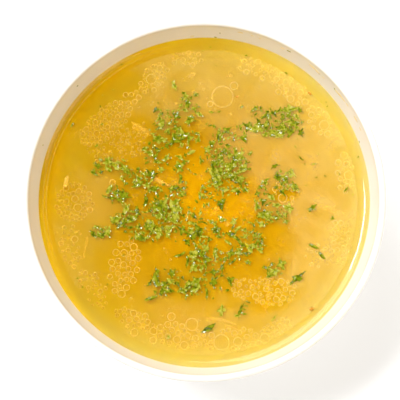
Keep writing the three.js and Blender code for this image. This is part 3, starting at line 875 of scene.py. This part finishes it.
# Wet parsley: a dull green skin with painted shade in its creases, painted light on its raised folds
# and at its edges, and beads of broth on it that throw small sharp lights.
leaf, add = new_material("parsley_leaf")
tone = add("Attribute", attribute_name="tone")
reach = add("Attribute", attribute_name="reach")
painted_fold_light = add("Attribute", attribute_name="painted_fold_light")
in_mm = in_millimetres(add)
mottle = add("TexNoise", {"Vector": in_mm, "Scale": 1 / MOTTLE_WIDTH, "Detail": 2.0})
# Painted shade in the creases and painted light on the folds.
creased = add("Math", {0: (painted_fold_light, "Fac"), 1: mottle}, operation="ADD")
mixed = add("Math", {0: (tone, "Fac"), 1: 0.6, 2: creased}, operation="MULTIPLY_ADD")
# Painted highlight: lighter towards each bit's edge.
edge = add("Math", {0: (reach, "Fac"), 1: 0.3, 2: mixed}, operation="MULTIPLY_ADD")
shade = add("MapRange", {0: edge, 1: 0.7, 2: 2.1})
green = add("ValToRGB", {0: shade}, stops=GREENS)
beads = add("TexNoise", {"Vector": in_mm, "Scale": 1 / BEAD_WIDTH, "Detail": 1.0})
wet = add("MapRange", {0: beads, 1: 0.585, 2: 0.63})
bump = add("Bump", {"Strength": 0.25, "Distance": 0.15 * MM, "Height": mottle})
beaded = add("TexNoise", {"Vector": in_mm, "Scale": 1 / MOTTLE_WIDTH, "Detail": 0.0})
bulge = add("Bump", {"Strength": 1.0, "Distance": 0.5 * MM, "Height": beaded})
skin = add("BsdfPrincipled", {
    "Base Color": green, "Roughness": 0.6, "IOR": 1.45, "Specular IOR Level": 0.05,
    "Normal": bump, "Coat Weight": wet, "Coat Roughness": 0.03, "Coat IOR": 2.2,
    "Coat Normal": bulge,
})
# A leaf this thin holds back only some of the light.
lit = lets_light_by(add, skin, share=0.5)
add("OutputMaterial", {"Surface": lit})
parsley.data.materials.append(leaf)
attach(parsley, "root")


# ---- Carrot crumbs -----------------------------------------------------------------------------
# A few orange crumbs of carrot that float at the rim: broken, rounded scraps.
# Each has a centre x, y, a length, a width and a heading.
CARROT_CRUMBS = [
    [44.0, 45.3, 2.0, 0.9, -40], [44.3, -44.5, 1.8, 1.2, 20], [58.8, 16.2, 0.7, 0.6, 0],
    [13.8, 44.0, 1.2, 0.6, 0],
]
CRUMB_THICKNESS = 0.6
CARROT = [(0.35, "#C4821A"), (0.65, "#DFA03A")]
CARROT_SEED = 5
scraps = []
draw = stream(CARROT_SEED)
for x, y, length, width, heading in CARROT_CRUMBS:
    bpy.ops.mesh.primitive_ico_sphere_add(subdivisions=2, radius=0.5)
    scrap = bpy.context.object
    for vertex in scrap.data.vertices:
        vertex.co *= 0.8 + 0.4 * draw()
    turn = Matrix.Rotation(math.radians(heading), 4, "Z")
    at = Matrix.Translation(Vector((x, y, BROTH_LEVEL + 0.1)) * MM)
    scrap.data.transform(at @ turn @ Matrix.Diagonal((length * MM, width * MM, CRUMB_THICKNESS * MM, 1)))
    bpy.ops.object.shade_smooth()
    bpy.ops.object.select_all(action="DESELECT")
    scraps.append(scrap)
carrot = joined("carrot_crumbs", scraps)

# Boiled carrot: soft, wet and a little clear, with a fine grain.
boiled_carrot, add = new_material("boiled_carrot")
in_mm = in_millimetres(add)
grain = add("TexNoise", {"Vector": in_mm, "Scale": 2.0, "Detail": 3.0})
orange = add("ValToRGB", {0: grain}, stops=CARROT)
skin = add("BsdfPrincipled", {
    "Base Color": orange, "Roughness": 0.25, "IOR": 1.4, "Subsurface Weight": 0.1,
    "Subsurface Radius": (1.0, 0.5, 0.1), "Subsurface Scale": 0.4 * MM,
})
add("OutputMaterial", {"Surface": skin})
carrot.data.materials.append(boiled_carrot)
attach(carrot, "root")


# ---- Splashes on the wall ----------------------------------------------------------------------
# Where the broth slopped up the wall as the bowl was carried, it left a broken line of thin yellow smears
# under the lip, at the back and on the right.
# Each has an azimuth, a height, a length round the wall and a width.
SPLASHES = [
    [50.6, 58.0, 3.6, 0.7], [48.4, 57.4, 2.4, 0.5], [45.8, 57.2, 1.4, 0.4], [39.0, 57.3, 3.8, 0.7],
    [36.6, 57.7, 4.2, 0.8], [33.6, 57.9, 1.6, 0.6], [28.2, 57.7, 3.0, 0.8], [24.5, 57.3, 1.6, 0.5],
    [77.7, 58.2, 2.4, 0.6], [73.6, 57.9, 1.2, 0.4], [70.9, 57.7, 1.0, 0.4], [94.0, 52.2, 1.6, 0.5],
    [62.5, 57.6, 1.8, 0.4],
]
SPLASH_THICKNESS = 0.06
SPLASH_STANDS_OFF = 0.05  # from the wall, so that it hides none of it
SPLASH_CORNERS = 20
SPLASH_SEED = 40
DRIED_BROTH = "#F4DE8C"


def splash(azimuth, height, length, width, seed):
    """A ragged disc, stretched, wrapped onto the wall point by point, and given its thickness."""
    draw = stream(seed)
    bpy.ops.mesh.primitive_circle_add(vertices=SPLASH_CORNERS, radius=0.5, fill_type="TRIFAN")
    piece = bpy.context.object
    reach = []
    for vertex in piece.data.vertices:
        reach.append(min(1.0, 2 * vertex.co.xy.length))
        ragged = 0.75 + 0.5 * draw()
        up = height + vertex.co.y * width * ragged
        angle = math.radians(azimuth) + vertex.co.x * length * ragged / inner_radius(height)
        radius = inner_radius(up) - SPLASH_STANDS_OFF
        vertex.co = Vector((radius * math.cos(angle), radius * math.sin(angle), up)) * MM
    named_value(piece.data, "reach", reach)
    bpy.ops.object.mode_set(mode="EDIT")
    faced_outwards()
    thickened(piece, SPLASH_THICKNESS, offset=0)
    bpy.ops.object.select_all(action="DESELECT")
    return piece


splashes = joined("splashes_on_wall", [splash(*row, i + SPLASH_SEED) for i, row in enumerate(SPLASHES)])

# Broth that has dried to a skin: yellow, a little glossy, and clearer at its edge.
dried, add = new_material("dried_broth")
reach = add("Attribute", attribute_name="reach")
seen = add("MapRange", {0: (reach, "Fac"), 1: 1.0, 2: 0.6, 3: 0.7, 4: 0.95})
skin = add("BsdfPrincipled", {
    "Base Color": linear(DRIED_BROTH), "Roughness": 0.3, "IOR": 1.38, "Alpha": seen,
})
lit = lets_light_by(add, skin)
add("OutputMaterial", {"Surface": lit})
splashes.data.materials.append(dried)
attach(splashes, "root")


# ---- Studio ------------------------------------------------------------------------------------
# A white table top that glows a little, so that it stays white in the bowl's shadow; a large window
# behind on the left; a strip beside it that draws the bright line on the far meniscus; and a small warm
# fill in front on the right.
FLOOR_WIDTH = 4.0
TABLE_WHITE = "#E6E5E2"
bpy.ops.mesh.primitive_plane_add(size=FLOOR_WIDTH)
floor = bpy.context.object
floor.name = "floor"
paper, add = new_material("white_paper")
skin = add("BsdfPrincipled", {
    "Base Color": linear(TABLE_WHITE), "Roughness": 0.9, "Emission Color": (0.88, 0.96, 1.1, 1),
    "Emission Strength": 0.35,
})
add("OutputMaterial", {"Surface": skin})
floor.data.materials.append(paper)

rim_middle = Vector((0, 0, bowl_high.z))
# Each lamp has an azimuth from +X and an elevation in degrees, a distance, a width and height in metres,
# a power in watts and a colour.
LAMPS = {
    "window": (128, 54, 2.4, 1.6, 1.3, 46.0, (0.96, 0.98, 1.05)),
    "strip": (159.5, 63, 2.4, 0.56, 0.34, 24.0, (0.96, 0.98, 1.05)),
    "fill": (-35, 42, 0.7, 0.5, 0.4, 2.2, (1.0, 0.9, 0.72)),
}
for name, (azimuth, elevation, distance, wide, tall, power, colour) in LAMPS.items():
    lamp = bpy.data.lights.new(name, "AREA")
    lamp.shape = "RECTANGLE"
    lamp.size, lamp.size_y, lamp.energy = wide, tall, power
    lamp.color = colour
    holder = bpy.data.objects.new(name, lamp)
    bpy.context.collection.objects.link(holder)
    turn, rise = math.radians(azimuth), math.radians(elevation)
    away = Vector((math.cos(turn) * math.cos(rise), math.sin(turn) * math.cos(rise), math.sin(rise)))
    holder.location = rim_middle + away * distance
    holder.rotation_euler = away.to_track_quat("Z", "Y").to_euler()

world = bpy.data.worlds.new("studio")
bpy.context.scene.world = world
world.use_nodes = True
world.node_tree.nodes.clear()
add = partial(node, world.node_tree)
place = add("TexCoord")
height = add("SeparateXYZ", {0: (place, "Generated")})
# The room is brighter and cooler towards the window, and dark overhead.
towards = add("VectorMath", {0: (place, "Generated"), 1: (-0.62, 0.78, 0)}, operation="DOT_PRODUCT")
room = add("MapRange", {0: (towards, "Value"), 1: -1.0, 2: 1.0, 3: 0.6, 4: 1.3})
by_window = add("MapRange", {0: (towards, "Value"), 1: -1.0, 2: 1.0})
walls = add(
    "Mix", {0: by_window, 6: (0.42, 0.355, 0.265, 1), 7: (0.41, 0.385, 0.355, 1)},
    data_type="RGBA",
)
overhead = add("MapRange", {0: (height, "Z"), 1: 0.85, 2: 0.97})
sky = add("Mix", {0: overhead, 6: (walls, 2), 7: (0.02, 0.02, 0.02, 1)}, data_type="RGBA")
glow = add("Background", {0: (sky, 2), 1: room})
add("OutputWorld", {0: glow})

# The camera looks almost straight down, from a little towards the viewer and to the right.
CAMERA_DISTANCE = 1.1
PICTURE_WIDTH = 0.1641  # what the picture spans at the rim
LEAN_BACK = 5.3  # degrees from upright, towards the viewer
LEAN_RIGHT = 1.2
AIM = Vector((-1.4, -0.35, 0)) * MM  # from the middle of the rim
SENSOR_WIDTH = 36.0
lens_data = bpy.data.cameras.new("camera")
lens_data.sensor_width = SENSOR_WIDTH
lens_data.lens = SENSOR_WIDTH * CAMERA_DISTANCE / PICTURE_WIDTH
lens_data.clip_start = 0.05
camera = bpy.data.objects.new("camera", lens_data)
bpy.context.collection.objects.link(camera)
away = Vector((math.tan(math.radians(LEAN_RIGHT)), -math.tan(math.radians(LEAN_BACK)), 1)).normalized()
to_right = Vector((0, 1, 0)).cross(away).normalized()
upright = Matrix((to_right, away.cross(to_right), away)).transposed()
camera.location = rim_middle + AIM + away * CAMERA_DISTANCE
camera.rotation_euler = upright.to_euler()
bpy.context.scene.camera = camera
bpy.context.scene.view_settings.view_transform = "Standard"
